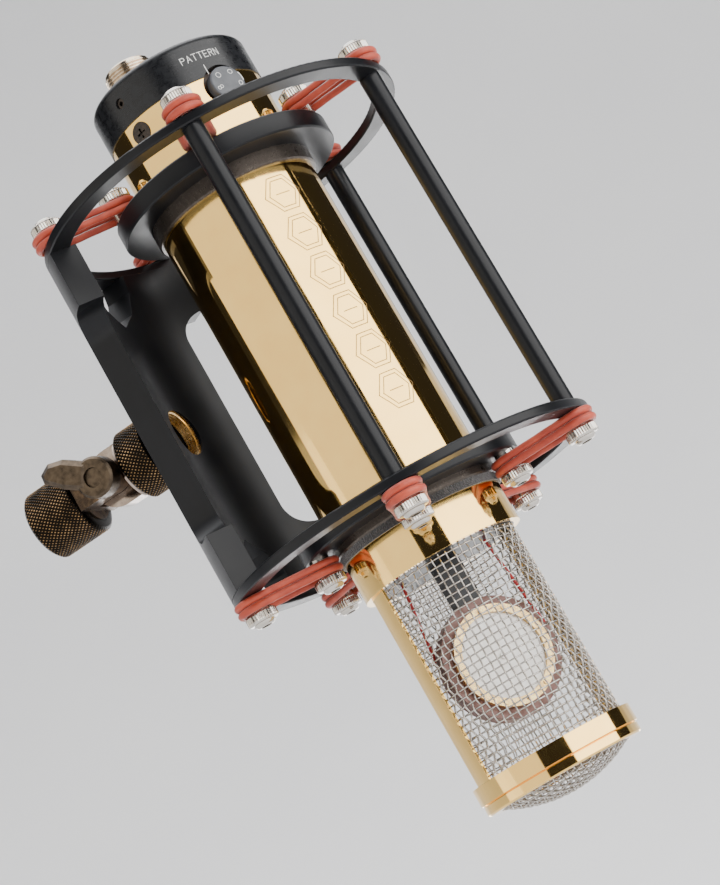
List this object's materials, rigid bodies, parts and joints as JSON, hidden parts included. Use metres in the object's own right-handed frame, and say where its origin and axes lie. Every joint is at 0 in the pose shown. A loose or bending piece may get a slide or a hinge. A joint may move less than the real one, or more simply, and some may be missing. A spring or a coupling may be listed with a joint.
{
  "type": "studio condenser microphone in cage shock mount",
  "caption": "Studio microphone with gold tube body, mesh grille and round capsule, hung by elastic loops in a black ring-and-rod cage on a knurled tilting stand swivel.",
  "frame": {"origin": "centre of the mouth of the stand thread in the swivel's knurled collar", "axes": "+X from the stand thread towards the microphone, +Z along the microphone from its grille to its connector, Y across the cage along the swivel's pivot"},
  "size_m": [0.1672, 0.118, 0.2563],
  "materials": {
    "gold": "mirror-polished gold plate",
    "black_anodised": "satin black anodised",
    "black_brushed": "brushed black anodised",
    "nickel": "bright nickel plate",
    "steel_mesh": "woven stainless wire",
    "diaphragm": "gold-sputtered film",
    "brass": "machined brass",
    "phenolic": "brown-pink moulded resin",
    "black_plastic": "matt",
    "red_rubber": "red-orange silicone",
    "bronze": "dark bronze oxide",
    "dark_chrome": "black chrome",
    "wire_red": "insulated lead",
    "circuit": "glass-epoxy board",
    "tube_glass": "clear glass",
    "transformer": "steel can",
    "black_felt": "felt",
    "screw_black": "black oxide screw",
    "aluminium": "bare"
  },
  "bodies": {
    "stand_adapter": {"stand_collar": "bronze", "clevis": "bronze", "pivot_bolt": "dark_chrome", "pivot_washer": "dark_chrome"},
    "swivel_arm": {"swivel_neck": "dark_chrome", "neck_washer": "dark_chrome", "thread_stud": "nickel"},
    "lock_collar": {"lock_collar": "bronze"},
    "wing_nut": {"wing_nut": "bronze"},
    "shock_frame": {"upper_outer_ring": "black_anodised", "lower_outer_ring": "black_anodised", "upper_outer_posts": "nickel", "lower_outer_posts": "nickel", "upper_outer_nuts": "nickel", "lower_outer_nuts": "nickel", "upper_bands": "red_rubber", "lower_bands": "red_rubber", "front_rod": "black_anodised", "right_rod": "black_anodised", "back_rod": "black_anodised", "mount_bracket": "black_anodised"},
    "microphone": {"body_tube": "gold", "side_rails": "gold", "top_cap": "black_brushed", "connector_shell": "nickel", "connector_insert": "black_plastic", "connector_pins": "brass", "pattern_switch": "black_plastic", "cap_screws": "screw_black", "cap_set_screw": "screw_black", "head_base": "black_plastic", "grille_mesh": "steel_mesh", "end_ring": "gold", "dome_mesh": "steel_mesh", "capsule_core": "brass", "capsule_saddle": "phenolic", "clamp_rings": "brass", "diaphragms": "diaphragm", "capsule_screws": "brass", "diaphragm_terminals": "brass", "capsule_post": "black_plastic", "lead_wires": "wire_red", "chassis_rails": "aluminium", "circuit_board": "circuit", "tube_socket": "black_plastic", "vacuum_tube": "tube_glass", "output_transformer": "transformer", "upper_inner_ring": "black_anodised", "lower_inner_ring": "black_anodised", "upper_clamp_collar": "black_anodised", "lower_clamp_collar": "black_anodised", "felt_band": "black_felt", "collar_screws": "screw_black", "upper_inner_posts": "nickel", "lower_inner_posts": "nickel", "upper_inner_nuts": "nickel", "lower_inner_nuts": "nickel"},
    "pattern_knob": {"pattern_knob": "black_anodised"}
  },
  "joints": [
    {"name": "swivel_tilt", "type": "hinge", "parent": "stand_adapter", "child": "swivel_arm", "pos_m": [0.0299, 0, 0], "axis": [0, 1, 0], "range_deg": [-85, 85]},
    {"name": "wing_nut_turn", "type": "hinge", "parent": "stand_adapter", "child": "wing_nut", "pos_m": [0.0299, -0.0145, 0], "axis": [0, -1, 0], "continuous": true},
    {"name": "lock_collar_turn", "type": "hinge", "parent": "swivel_arm", "child": "lock_collar", "pos_m": [0.0415, 0, 0], "axis": [1, 0, 0], "continuous": true},
    {"name": "mount_turn", "type": "hinge", "parent": "swivel_arm", "child": "shock_frame", "pos_m": [0.052, 0, 0], "axis": [1, 0, 0], "continuous": true},
    {"name": "suspension_bounce", "type": "slide", "parent": "shock_frame", "child": "microphone", "axis": [0, 0, 1], "range_m": [-0.004, 0.004], "stiffness_N_per_m": 5000, "deforming": ["upper_bands", "lower_bands"]},
    {"name": "pattern_knob_turn", "type": "hinge", "parent": "microphone", "child": "pattern_knob", "pos_m": [0.12578, -0.01436, 0.0756], "axis": [0.8049, -0.5934, 0], "range_deg": [-120, 120]}
  ]
}
